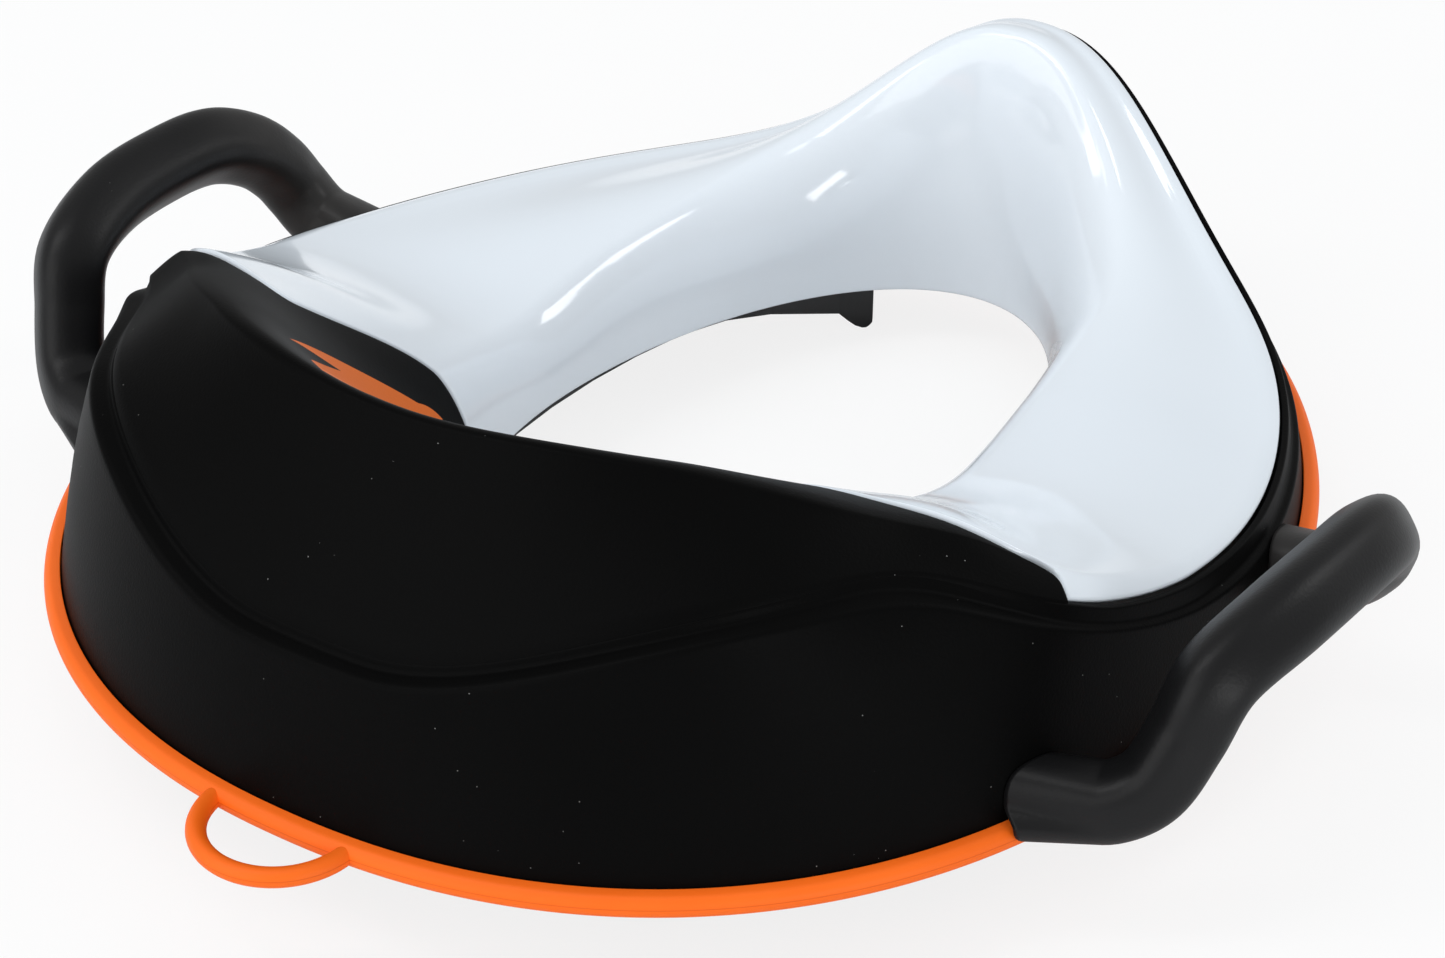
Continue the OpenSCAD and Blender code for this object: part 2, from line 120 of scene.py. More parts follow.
# Control points of its curves: how far they lie along their runs, and the fall behind the crest
SEAT_BULGE = (0.45, 1.0)
BACK_BULGE = (0.94, 0.85)
CREST_PULL = 0.3
CREST_DROP = 1.3
FACE_PULL = 0.4
LIP_PULL = 0.5

# Parting between seat and backrest: its angle at the outer edge, then bends of so many degrees from
# a place along the profile, over a run and with a power
PARTING_T = -16.5
PARTING_BENDS = ((-27.6, 0.0, 0.42, 3.8), (9.5, 0.38, 0.25, 1.0), (-6.4, 0.63, 0.37, 1.0))

# Shell, rim and handles
SHELL_WALL = 2.5
SKIRT_FOOT = -1.0
FOOT_INSET = 4.4
SKIRT_LEAN = 10.2
FRONT_LEAN = 3.0
FRONT_LEAN_T = 25.0
FRONT_LEAN_SPAN = 45.0
SHOULDER_IN = 6.8
SHOULDER_T = -33.0
SHOULDER_SPAN = 13.2
SHOULDER_H = 58.0
SHOULDER_POWER = 3.3
STEP_D = 2.0
STEP_REAR_D = 4.0
STEP_REAR_T = -10.0
STEP_REAR_SPAN = 25.0
BAND_H = 6.5
BAND_REAR_H = 3.0
BAND_T = 1.8
BAND_DROP = 0.8
BAND_TUCK = 0.9
BAND_END = -17.0
BAND_END_SPAN = 6.0
LEDGE_W = 7.0
LEDGE_MIN_W = 1.5
LEDGE_CLEAR = 1.5
INNER_WALL_FOOT = 2.8
BEAD_H = 7.0
BEAD_FOOT_IN = 2.2
SOLE_W = 10.0
LOOP_R = 19.5
LOOP_T = 5.0
LOOP_SET_IN = 3.0
LOOP_DROP = 0.4
LIP_Z = 2.9
GRIP_T = 20.0
BEAD_CLEAR = 1.4
BEAD_CLEAR_RUN = 2.0
FIT_GAP = 0.3
SEAT_EASE = 0.7
PARTING_GAP = 0.12
EDGE_ROUND = 0.9

# Fineness of the meshes: points along each direction
PROFILE_STEPS = 110
SEAT_STEPS = 260
PANEL_STEPS = 150
OUTLINE_STEPS = 480
CORNER_STEPS = 5
LOOP_STEPS = 61
LOOP_SIDES = 24
GRIP_SIDES = 48
ROUTE_STEPS = 10
FOOT_RINGS = 8
FOOT_BLEND = 8
ANGLE_STEPS = 1441


def mix(a, b, f):
    """Straight blend from a to b."""
    return a + (b - a) * f


def smooth(x):
    """Cubic step from 0 to 1."""
    c = np.clip(x, 0, 1)
    return c * c * (3 - 2 * c)


def signed_pow(v, p):
    """The value's sign with its size raised to a power."""
    return np.sign(v) * np.abs(v) ** p


def softer_min(a, b, k):
    """The lower of two heights, with their crossing rounded over k."""
    return np.minimum(a, b) - k * np.log1p(np.exp(-np.abs(a - b) / k))


def outline(t):
    """Superellipse of the rim in plan at angle t, 90 degrees being the front."""
    c = np.cos(np.radians(t))
    s = np.sin(np.radians(t))
    front = s >= 0
    power = 2 / np.where(front, FRONT_POWER, REAR_POWER)
    x = BASE_HALF_W * signed_pow(c, power)
    y = np.where(front, BASE_FRONT, BASE_REAR) * signed_pow(s, power)
    return x, y


def side_angle(t):
    """The same angle folded onto the right-hand side, -90 at the rear to 90 at the front."""
    return np.degrees(np.arcsin(np.clip(np.sin(np.radians(t)), -1, 1)))


def ray(t):
    """Unit direction from the opening's middle to the outline, and the distance between them."""
    x, y = outline(t)
    y = y - HOLE_Y
    reach = np.hypot(x, y)
    return x / reach, y / reach, reach


def hole_r(t):
    """Radius of the two half ellipses of the opening along the ray at t."""
    dx, dy, _ = ray(t)
    return 1 / np.hypot(dx / HOLE_HALF_W, dy / np.where(dy > 0, HOLE_FRONT, HOLE_REAR))


def flank_share(t):
    """Bell over the angle that is 1 on the guard's flanks."""
    return np.exp(-(((side_angle(t) - FLANK_T) / FLANK_SPAN) ** 2))


def lip_w(t):
    """Width of the rounded lip along the ray at t: narrower at the guard, wider on its flanks."""
    _, dy, _ = ray(t)
    at_guard = smooth((HOLE_Y + dy * hole_r(t) - GUARD_LIP_Y) / GUARD_LIP_RUN)
    return mix(LIP_W, GUARD_LIP_W, at_guard) + FLANK_LIP_W * flank_share(t)


def at(t, r, z):
    """Point on the ray at t, r from the opening's middle and z over the rim's plane."""
    dx, dy, _ = ray(t)
    return np.stack(np.broadcast_arrays(dx * r, HOLE_Y + dy * r, z + RIM_H), axis=-1)


def inside(t, inset, z):
    """Point on the ray at t, so far inside the outline and z over the rim's plane."""
    _, _, reach = ray(t)
    return at(t, reach - inset, z)


def skirt_in(t, z):
    """Distance of the leaning skirt's face inside the outline at height z, with a power curve of z that
    draws its top in at the rear quarters."""
    a = side_angle(t)
    lean = mix(SKIRT_LEAN, FRONT_LEAN, smooth((a - FRONT_LEAN_T) / FRONT_LEAN_SPAN))
    shoulder = SHOULDER_IN * (np.maximum(0, z) / SHOULDER_H) ** SHOULDER_POWER
    shoulder = shoulder * np.exp(-(((a - SHOULDER_T) / SHOULDER_SPAN) ** 2))
    return FOOT_INSET + z * np.tan(np.radians(lean)) + shoulder


def backness(t):
    """How far a section belongs to the backrest, 1 at the rear."""
    return smooth((BACKREST_END - side_angle(t)) / (BACKREST_END - BACKREST_START))


def edge_z(t):
    """Height of the seat's outer edge, and behind the backrest of the panel's lower edge."""
    dx, dy, reach = ray(t)
    x = np.abs(dx * (reach - EDGE_SETBACK))
    y = HOLE_Y + dy * (reach - EDGE_SETBACK)
    guard = np.exp(-((x / GUARD_HALF_W) ** GUARD_EDGE_POWER)) * smooth(y / GUARD_EDGE_RUN)
    seat_line = SIDE_H + WING_RISE * np.exp((WING_Y - y) / WING_RUN) + GUARD_EDGE_H * guard
    back_line = STEP_MID_H + BAND_REAR_H + STEP_RISE * smooth((x - STEP_FLAT_W) / STEP_RUN)
    return softer_min(back_line + np.maximum(0, y), seat_line, EDGE_BLEND)


def step_z(t):
    """Height of the step between the skirt and the band above it."""
    return edge_z(t) - mix(BAND_H, BAND_REAR_H, backness(t))


def step_in(t):
    """Depth of that step, deeper behind the backrest."""
    return mix(STEP_D, STEP_REAR_D, smooth((STEP_REAR_T - side_angle(t)) / STEP_REAR_SPAN))


def guard_at(x, w, p, y):
    """Bell of half width w and power p across the splash guard, fading towards the sides of the seat."""
    return np.exp(-((np.abs(x) / w) ** p)) * smooth(y / GUARD_RUN)


def bez2(a, b, c, f):
    """Quadratic Bezier curve at f."""
    return mix(mix(a, b, f), mix(b, c, f), f)


def bez3(a, b, c, d, f):
    """Cubic Bezier curve at f."""
    return mix(bez2(a, b, c, f), bez2(b, c, d, f), f)


def skin(t, u, edge_in):
    """The sharp skin with its crest rounded: between CREST_U - CREST_SOFT and CREST_U + CREST_SOFT a
    quadratic Bezier from the panel to the face, with the sharp crest as its control point."""
    f = np.clip((u - CREST_U) / (2 * CREST_SOFT) + 0.5, 0, 1)[..., None]
    before = sharp_skin(t, np.full_like(u, CREST_U - CREST_SOFT), edge_in)
    crest = sharp_skin(t, np.full_like(u, CREST_U), edge_in)
    after = sharp_skin(t, np.full_like(u, CREST_U + CREST_SOFT), edge_in)
    near = np.abs(u - CREST_U)[..., None] < CREST_SOFT
    return np.where(near, bez2(before, crest, after, f), sharp_skin(t, u, edge_in))


def sharp_skin(t, u, edge_in):
    """Seat and backrest in one formula: Bezier curves in each ray's plane from the outer edge (u = 0)
    over the crest (CREST_U) and the lip (LIP_U) to the opening's lower edge (1)."""
    dx, dy, reach = ray(t)
    ez = edge_z(t)
    e_in = skirt_in(t, ez) + step_in(t) + edge_in
    back = backness(t)
    a = side_angle(t)
    er = reach - e_in
    kr = reach - mix(e_in + ROLL_W, CREST_SETBACK, smooth((CREST_START - a) / (CREST_START - CREST_FULL)))
    kx = dx * kr
    ky = HOLE_Y + dy * kr
    across = np.minimum(1, np.abs(kx) / (BASE_HALF_W - CORNER_IN))
    back_z = CORNER_H + (BACK_H - CORNER_H) * (1 - across**CREST_POWER)
    seat_z = ez + ROLL_H + GUARD_TOP_H * guard_at(kx, GUARD_TOP_W, GUARD_TOP_POWER, ky)
    kz = mix(seat_z, back_z, smooth((RISE_START - a) / (RISE_START - RISE_FULL)))
    kz = kz + SWELL_H * np.exp(-(((a - SWELL_T) / SWELL_SPAN) ** 2))
    for dip, dip_t, dip_span in CREST_DIPS:
        kz = kz - dip * np.exp(-(((a - dip_t) / dip_span) ** 2))
    hr = hole_r(t)
    hz = HOLE_EDGE_H - HOLE_EDGE_FALL * dy * hr
    lw = lip_w(t)
    lr = hr + lw
    lx = dx * lr
    ly = HOLE_Y + dy * lr
    lz = LIP_H + LIP_REAR_RISE * smooth((LIP_RISE_Y - ly) / LIP_RISE_RUN)
    lz = lz + GUARD_FACE_H * guard_at(lx, GUARD_FACE_W, GUARD_FACE_POWER, ly)
    fall = np.radians(mix(SEAT_FALL, BACK_FALL, back) - FLANK_FALL * flank_share(t))
    down_r = -np.cos(fall)
    down_z = -np.sin(fall)
    run = kr - lr
    drop = lz - hz
    panel = np.clip(u / CREST_U, 0, 1)
    face = np.clip((u - CREST_U) / (LIP_U - CREST_U), 0, 1)
    lip = np.clip((u - LIP_U) / (1 - LIP_U), 0, 1)
    bulge_r = mix(er, kr, mix(SEAT_BULGE[0], BACK_BULGE[0], back))
    bulge_z = mix(ez, kz, mix(SEAT_BULGE[1], BACK_BULGE[1], back))
    r_panel = bez2(er, bulge_r, kr, panel)
    z_panel = bez2(ez, bulge_z, kz, panel)
    r_face = bez3(kr, kr - run * CREST_PULL, lr - down_r * run * FACE_PULL, lr, face)
    z_face = bez3(kz, kz - CREST_DROP * back, lz - down_z * run * FACE_PULL, lz, face)
    r_lip = bez3(lr, lr + down_r * lw * LIP_PULL, hr, hr, lip)
    z_lip = bez3(lz, lz + down_z * lw * LIP_PULL, hz + drop * LIP_PULL, hz, lip)
    r = np.where(u < CREST_U, r_panel, np.where(u < LIP_U, r_face, r_lip))
    z = np.where(u < CREST_U, z_panel, np.where(u < LIP_U, z_face, z_lip))
    return at(t, r, z)


def parting(u):
    """Angle of the parting between seat and backrest: PARTING_T plus each bend's cubic step along the
    profile, raised to its power."""
    bends = [size * smooth((u - start) / run) ** power for size, start, run, power in PARTING_BENDS]
    return PARTING_T + sum(bends)


def normals_of(grid):
    """Unit normals of a grid of points, from the cross product of its two directions."""
    n = np.cross(np.gradient(grid, axis=0), np.gradient(grid, axis=1))
    return n / np.linalg.norm(n, axis=-1, keepdims=True)


def edge_distance(grid, axis):
    """Distance of each point from the nearer end of its grid line, measured along the line."""
    step = np.linalg.norm(np.diff(grid, axis=axis), axis=-1)
    pad = [(1, 0), (0, 0)] if axis == 0 else [(0, 0), (1, 0)]
    length = np.cumsum(np.pad(step, pad), axis=axis)
    total = length[-1:] if axis == 0 else length[:, -1:]
    return np.minimum(length, total - length)


def spread(n, ends):
    """n even steps between the last of the fine ends and its mirror, with the fine ones at 0 and at 1."""
    return np.concatenate([ends[:-1], np.linspace(ends[-1], 1 - ends[-1], n), 1 - ends[-2::-1]])


def mesh_piece(name, points, faces, uv=None):
    """A mesh object from points in millimetres and quads, its faces turned outwards by signed volume."""
    p = points.reshape(-1, 3) * MM
    a, b, c, d = (p[faces[:, k]] for k in range(4))
    volume = np.einsum("ij,ij->i", a, np.cross(b, c)).sum() + np.einsum("ij,ij->i", a, np.cross(c, d)).sum()
    if volume < 0:
        faces = faces[:, ::-1]
    mesh = bpy.data.meshes.new(name)
    mesh.vertices.add(len(p))
    mesh.vertices.foreach_set("co", p.astype(np.float32).ravel())
    mesh.loops.add(faces.size)
    mesh.loops.foreach_set("vertex_index", faces.astype(np.int32).ravel())
    mesh.polygons.add(len(faces))
    mesh.polygons.foreach_set("loop_start", np.arange(0, faces.size, 4, dtype=np.int32))
    mesh.polygons.foreach_set("use_smooth", np.ones(len(faces), bool))
    if uv is not None:
        layer = mesh.uv_layers.new(name="UVMap")
        layer.data.foreach_set("uv", uv.reshape(-1, 2)[faces.ravel()].astype(np.float32).ravel())
    mesh.update(calc_edges=True)
    mesh.validate()
    piece = bpy.data.objects.new(name, mesh)
    bpy.context.scene.collection.objects.link(piece)
    return piece


def loop_faces(n, m, closed):
    """Quads of n loops of m points, joined end to end where closed, otherwise zipped shut at both ends."""
    i, j = np.meshgrid(np.arange(n if closed else n - 1), np.arange(m), indexing="ij")
    i2 = (i + 1) % n
    j2 = (j + 1) % m
    sides = np.stack([i * m + j, i * m + j2, i2 * m + j2, i2 * m + j], axis=-1).reshape(-1, 4)
    if closed:
        return sides
    k = np.arange(m // 2 - 1)
    first = np.stack([k, m - 1 - k, m - 2 - k, k + 1], axis=-1)
    last = (n - 1) * m + first[:, ::-1]
    return np.concatenate([sides, first, last])


def walled(name, t, u, edge_in, wall, sink=0.0):
    """The skin over a grid of angles t and profile places u, given an even wall whose four edges are
    rounded by a quarter circle of radius EDGE_ROUND; sink draws the foot of the panel straight down."""
    grid = skin(t, u, edge_in)
    grid[..., 2] -= sink * np.clip(1 - u / PROFILE_ENDS[-1], 0, 1)
    normal = normals_of(grid)
    if normal[..., 2].mean() < 0:
        normal = -normal
    near = np.minimum(edge_distance(grid, 0), edge_distance(grid, 1))
    dip = EDGE_ROUND * (1 - np.sqrt(1 - (1 - np.clip(near / EDGE_ROUND, 0, 1)) ** 2))[..., None]
    upper = grid - normal * dip
    lower = grid - normal * (wall - dip)
    loops = np.concatenate([upper, lower[:, ::-1]], axis=1)
    uv = np.stack([np.broadcast_to(t, u.shape) / 360, u], axis=-1)
    uv = np.concatenate([uv, uv[:, ::-1] + [0, 1]], axis=1)
    n, m = loops.shape[:2]
    return mesh_piece(name, loops, loop_faces(n, m, False), uv)


def rounded(corners, radii):
    """Closed loops through corner points, each corner turned into a Bezier arc of its radius, or of
    0.45 of the shorter side next to it where that is less."""
    out = []
    count = len(corners)
    for k, (corner, radius) in enumerate(zip(corners, radii)):
        before = corners[k - 1] - corner
        after = corners[(k + 1) % count] - corner
        len_b = np.linalg.norm(before, axis=-1, keepdims=True)
        len_a = np.linalg.norm(after, axis=-1, keepdims=True)
        r = np.minimum(radius, 0.45 * np.minimum(len_b, len_a))
        start = corner + before / len_b * r
        end = corner + after / len_a * r
        out += [bez2(start, corner, end, f) for f in np.linspace(0, 1, CORNER_STEPS)]
    return np.stack(out, axis=1)


# Fine first steps, so that the rounded edges of the walls have points to turn on
SWEEP_ENDS = np.array([0, 0.0006, 0.0018, 0.0035, 0.006])
PROFILE_ENDS = np.array([0, 0.0012, 0.003, 0.006, 0.011])


def make_seat():
    """White horseshoe from parting to parting round the front, with its splash guard."""
    u = spread(PROFILE_STEPS, PROFILE_ENDS)[None, :]
    s = spread(SEAT_STEPS, SWEEP_ENDS)[:, None]
    half = 90 - parting(u) - PARTING_GAP
    t = 90 + half * (2 * s - 1)
    return walled("seat_moulding", t, np.broadcast_to(u, t.shape), BAND_T + FIT_GAP, SEAT_WALL)


def make_backrest():
    """Black panel from parting to parting round the rear, its foot drawn down to the skirt's step."""
    u = spread(PROFILE_STEPS, PROFILE_ENDS)[None, :]
    s = spread(PANEL_STEPS, SWEEP_ENDS)[:, None]
    half = 90 + parting(u) - PARTING_GAP
    t = -90 + half * (2 * s - 1)
    return walled("backrest_panel", t, np.broadcast_to(u, t.shape), 0.0, SHELL_WALL, BAND_REAR_H)


def make_skirt():
    """Skirt, step, band and seat ledge as one rounded section carried round the outline. Behind the
    backrest the band draws back under the panel."""
    t = np.linspace(0, 360, OUTLINE_STEPS, endpoint=False)
    sz = step_z(t)
    ez = edge_z(t)
    past_end = (side_angle(t) - BAND_END) / BAND_END_SPAN
    tuck = smooth(-past_end) * BAND_TUCK
    band_in = skirt_in(t, ez) + step_in(t) + tuck
    band_top = ez - BAND_DROP * smooth(past_end)
    seat_in = band_in + BAND_T
    shelf_z = ez - SEAT_WALL - FIT_GAP
    shelf_in = seat_in + np.minimum(LEDGE_W, np.maximum(LEDGE_MIN_W, ledge_room(t)))
    outer_face = [inside(t, skirt_in(t, sz * f), sz * f) for f in (0.3, 0.5, 0.65, 0.8, 0.9)]
    corners = [
        inside(t, skirt_in(t, SKIRT_FOOT), SKIRT_FOOT),
        *outer_face,
        inside(t, skirt_in(t, sz), sz),
        inside(t, skirt_in(t, sz) + step_in(t) + tuck, sz + 0.7),
        inside(t, band_in, band_top),
        inside(t, seat_in, band_top),
        inside(t, seat_in, shelf_z),
        inside(t, shelf_in, shelf_z - 1.2),
        inside(t, shelf_in, shelf_z - 3),
        inside(t, band_in + SHELL_WALL, shelf_z - 5),
        inside(t, skirt_in(t, sz * 0.5) + SHELL_WALL, np.minimum(sz * 0.5, shelf_z - 6)),
        inside(t, skirt_in(t, INNER_WALL_FOOT) + SHELL_WALL, INNER_WALL_FOOT),
        inside(t, skirt_in(t, SKIRT_FOOT) + SHELL_WALL, SKIRT_FOOT),
    ]
    radii = [0.5, 2, 2, 2, 2, 2, 1.6, 1.0, 0.6, 0.5, 0.2, 0.4, 0.4, 0.8, 2, 0.4, 0.5]
    loops = rounded(corners, radii)
    return mesh_piece("skirt_and_band", loops, loop_faces(*loops.shape[:2], True))


def ledge_room(t):
    """Room between the seat's outer edge and its lip, less the wall and a clearance."""
    _, _, reach = ray(t)
    er = reach - skirt_in(t, edge_z(t)) - step_in(t) - BAND_T - FIT_GAP
    return er - hole_r(t) - lip_w(t) - SEAT_WALL - LEDGE_CLEAR


def make_rim():
    """Soft bead round the skirt's foot: outer roll, thin upper lip, groove for the skirt and flat sole."""
    t = np.linspace(0, 360, OUTLINE_STEPS, endpoint=False)
    low = -BEAD_H / 2
    groove_z = SKIRT_FOOT - FIT_GAP
    groove_top = 1.5
    sole_in = BEAD_FOOT_IN + SOLE_W
    corners = [
        inside(t, BEAD_FOOT_IN, low),
        inside(t, 0.7, low + 1.1),
        inside(t, 0, low + 2.9),
        inside(t, 0.5, 1.2),
        inside(t, 1.9, 2.5),
        inside(t, skirt_in(t, LIP_Z) - FIT_GAP, LIP_Z),
        inside(t, skirt_in(t, groove_z) - FIT_GAP, groove_z),
        inside(t, skirt_in(t, groove_z) + SHELL_WALL + FIT_GAP, groove_z),
        inside(t, skirt_in(t, groove_top) + SHELL_WALL + FIT_GAP, groove_top),
        inside(t, sole_in - 0.4, 1.2),
        inside(t, sole_in + 0.4, low + 0.6),
        inside(t, sole_in, low),
    ]
    radii = [0.9, 0.9, 1.2, 0.9, 0.8, 0.4, 0.2, 0.2, 0.3, 0.5, 0.6, 0.6]
    loops = rounded(corners, radii)
    return mesh_piece("rim_bead", loops, loop_faces(*loops.shape[:2], True))


def make_loop():
    """Half torus at the rim's rear: a circle carried round a half circle."""
    a = np.radians(np.linspace(178, 362, LOOP_STEPS))[:, None]
    b = np.linspace(0, 2 * math.pi, LOOP_SIDES, endpoint=False)[None, :]
    r = LOOP_R + LOOP_T / 2 * np.cos(b)
    x = r * np.cos(a)
    y = r * np.sin(a) - (BASE_REAR - LOOP_SET_IN)
    z = np.broadcast_to(LOOP_T / 2 * np.sin(b) + RIM_H - LOOP_DROP, x.shape)
    return mesh_piece("hanging_loop", np.stack([x, y, z], axis=-1), loop_faces(LOOP_STEPS, LOOP_SIDES, False))


# Route of a handle: x, y, height over the rim's plane and thickness as a share of the grip's
REAR_FOOT = np.array([BASE_HALF_W - 20, -64.5, 6.8])
FRONT_FOOT = np.array([BASE_HALF_W - 14, 48.5, 7.8])
FOOT_SHAPE = (0.84, 1.12)
HANDLE_ROUTE = np.array([
    [BASE_HALF_W - 7.5, -63.5, 6, 0.92],
    [BASE_HALF_W + 1.5, -61, 7, 0.9],
    [BASE_HALF_W + 9, -56, 12.5, 0.9],
    [BASE_HALF_W + 13.5, -50, 24.5, 0.91],
    [BASE_HALF_W + 17, -42.5, 38, 0.95],
    [BASE_HALF_W + 21.5, -22, 43.3, 1],
    [BASE_HALF_W + 23, 2, 43.3, 1],
    [BASE_HALF_W + 22.5, 20, 41, 1],
    [BASE_HALF_W + 19.5, 33, 35, 0.97],
    [BASE_HALF_W + 16.5, 41, 27, 0.94],
    [BASE_HALF_W + 13, 45, 19, 0.92],
    [BASE_HALF_W + 6.5, 46.5, 12, 0.92],
    [BASE_HALF_W - 3.5, 47.5, 8.5, 0.92],
])
SECTION_POWER = 2.8


def spline(points, steps):
    """Catmull-Rom curve through the points, as one array."""
    padded = np.concatenate([points[:1], points, points[-1:]])
    a, b, c, d = padded[:-3], padded[1:-2], padded[2:-1], padded[3:]
    f = (np.arange(steps) / steps)[None, :, None]
    a, b, c, d = (q[:, None, :] for q in (a, b, c, d))
    curve = 0.5 * (2 * b + (c - a) * f + (2 * a - 5 * b + 4 * c - d) * f**2 + (3 * b - a - 3 * c + d) * f**3)
    return np.concatenate([curve.reshape(-1, points.shape[1]), points[-1:]])


def angle_through(x, y):
    """Angle whose ray from the opening's middle passes through a point, read from the outline's table."""
    table = np.linspace(-90, 90, ANGLE_STEPS)
    dx, dy, _ = ray(table)
    return np.interp(np.arctan2(y - HOLE_Y, x), np.arctan2(dy, dx), table)


def keep_out(t, z):
    """Nearest that a handle comes to the opening's middle: the skirt, or the bead below it."""
    _, _, reach = ray(t)
    above = smooth((z - LIP_Z - BEAD_CLEAR) / BEAD_CLEAR_RUN)
    return reach + mix(FIT_GAP, -skirt_in(t, z), above) + FIT_GAP


def seated(p, ends):
    """Points moved out along their rays to the keep-out distance where they are nearer, by a soft
    maximum, and the end sections moved right onto it."""
    t = angle_through(p[..., 0], p[..., 1])
    limit = keep_out(t, p[..., 2])
    r = np.hypot(p[..., 0], p[..., 1] - HOLE_Y)
    eased = np.maximum(r, limit) + SEAT_EASE * np.log1p(np.exp(-np.abs(r - limit) / SEAT_EASE))
    return at(t, np.where(ends, limit, eased), p[..., 2])


def carried_frames(path):
    """Side and width directions along a path, each kept as near as it can be to the one before."""
    along = np.gradient(path, axis=0)
    along /= np.linalg.norm(along, axis=1, keepdims=True)
    flat = [np.array([0.0, 0.0, 1.0])]
    for a in along:
        f = flat[-1] - a * (flat[-1] @ a)
        flat.append(f / np.linalg.norm(f))
    flat = np.array(flat[1:])
    return flat, np.cross(along, flat)


def make_handle(name, side):
    """Tube of squarish superellipse section carried along its route, its two ends fitted to the skirt and
    blended straight into the tube over the first rings."""
    route = spline(HANDLE_ROUTE, ROUTE_STEPS)
    lead_in = np.linspace(0, 1, FOOT_RINGS, endpoint=False)
    lead = mix(REAR_FOOT, route[0, :3], lead_in[:, None])
    tail = mix(FRONT_FOOT, route[-1, :3], lead_in[::-1, None])
    path = np.concatenate([lead, route[:, :3], tail])
    share = np.pad(route[:, 3], FOOT_RINGS, mode="edge")
    n = len(path)
    flat, wide = carried_frames(path)
    a = np.linspace(0, 2 * math.pi, GRIP_SIDES, endpoint=False)
    radius = (np.abs(np.cos(a)) ** SECTION_POWER + np.abs(np.sin(a)) ** SECTION_POWER) ** (-1 / SECTION_POWER)
    high = GRIP_T / 2 * radius * np.cos(a)
    broad = GRIP_T / 2 * radius * np.sin(a)

    def section(i, shape):
        """The squarish section at place i of the path, scaled by its two shares."""
        return path[i] + flat[i] * high[:, None] * shape[0] + wide[i] * broad[:, None] * shape[1]

    loops = np.stack([section(i, (share[i], share[i])) for i in range(n)])
    loops = seated(loops, np.zeros(loops.shape[:2], bool))
    drawn = FOOT_RINGS + FOOT_BLEND
    for end, step in ((0, 1), (n - 1, -1)):
        foot = seated(section(end, FOOT_SHAPE)[None], True)[0]
        free = loops[end + step * drawn]
        for k in range(drawn):
            loops[end + step * k] = mix(foot, free, k / drawn)
    loops *= [side, 1, 1]
    return mesh_piece(name, loops, loop_faces(n, len(a), False))


# Moulding line of the rim, in metres
SEAM_Z = RIM_H * MM
SEAM_HALF = 0.13 * MM
SEAM_STRENGTH = 0.6

# Noise scales of the patches of dust and of the painted sheen, per metre, and the strength of the painted
# sheen
DUST_PATCHES = 14
SHEEN_PATCHES = 60
SHEEN_STRENGTH = 0.6


def srgb(r, g, b):
    """Linear colour from display values of 0 to 255."""
    v = np.array([r, g, b]) / 255
    linear = np.where(v <= 0.04045, v / 12.92, ((v + 0.055) / 1.055) ** 2.4)
    return (*(float(c) for c in linear), 1.0)


def effect_group(name, inputs, outputs, build):
    """A shader node group with float inputs and the given outputs, filled by build."""
    group = bpy.data.node_groups.new(name, "ShaderNodeTree")
    for label, value in inputs.items():
        socket = group.interface.new_socket(label, in_out="INPUT", socket_type="NodeSocketFloat")
        socket.default_value = value
    for label in outputs:
        group.interface.new_socket(label, in_out="OUTPUT", socket_type="NodeSocketFloat")
    group_in = group.nodes.new("NodeGroupInput")
    group_out = group.nodes.new("NodeGroupOutput")
    build(group.nodes, group.links, group_in, group_out)
    return group


def math_node(nodes, links, operation, a, b):
    """A Math node of two values or sockets."""
    node = nodes.new("ShaderNodeMath")
    node.operation = operation
    for index, value in enumerate((a, b)):
        if isinstance(value, (int, float)):
            node.inputs[index].default_value = value
        else:
            links.new(value, node.inputs[index])
    return node.outputs[0]


def build_grain(nodes, links, group_in, group_out):
    """Moulded texture: fine noise over a broad, faint waviness."""
    place = nodes.new("ShaderNodeTexCoord").outputs["Object"]
    fine = nodes.new("ShaderNodeTexNoise")
    fine.inputs["Detail"].default_value = 3
    links.new(place, fine.inputs["Vector"])
    links.new(group_in.outputs["Grain size"], fine.inputs["Scale"])
    broad = nodes.new("ShaderNodeTexNoise")
    broad.inputs["Detail"].default_value = 2
    links.new(place, broad.inputs["Vector"])
    links.new(group_in.outputs["Wave size"], broad.inputs["Scale"])
    links.new(fine.outputs["Fac"], group_out.inputs["Grain"])
    links.new(broad.outputs["Fac"], group_out.inputs["Wave"])


def build_dust(nodes, links, group_in, group_out):
    """Sparse specks: cells whose centre is close, kept only where a coarse noise allows."""
    place = nodes.new("ShaderNodeTexCoord").outputs["Object"]
    cells = nodes.new("ShaderNodeTexVoronoi")
    links.new(place, cells.inputs["Vector"])
    links.new(group_in.outputs["Density"], cells.inputs["Scale"])
    near = math_node(nodes, links, "LESS_THAN", cells.outputs["Distance"], group_in.outputs["Speck"])
    patch = nodes.new("ShaderNodeTexNoise")
    patch.inputs["Scale"].default_value = DUST_PATCHES
    links.new(place, patch.inputs["Vector"])
    allowed = math_node(nodes, links, "GREATER_THAN", patch.outputs["Fac"], group_in.outputs["Rarity"])
    links.new(math_node(nodes, links, "MULTIPLY", near, allowed), group_out.inputs["Mask"])


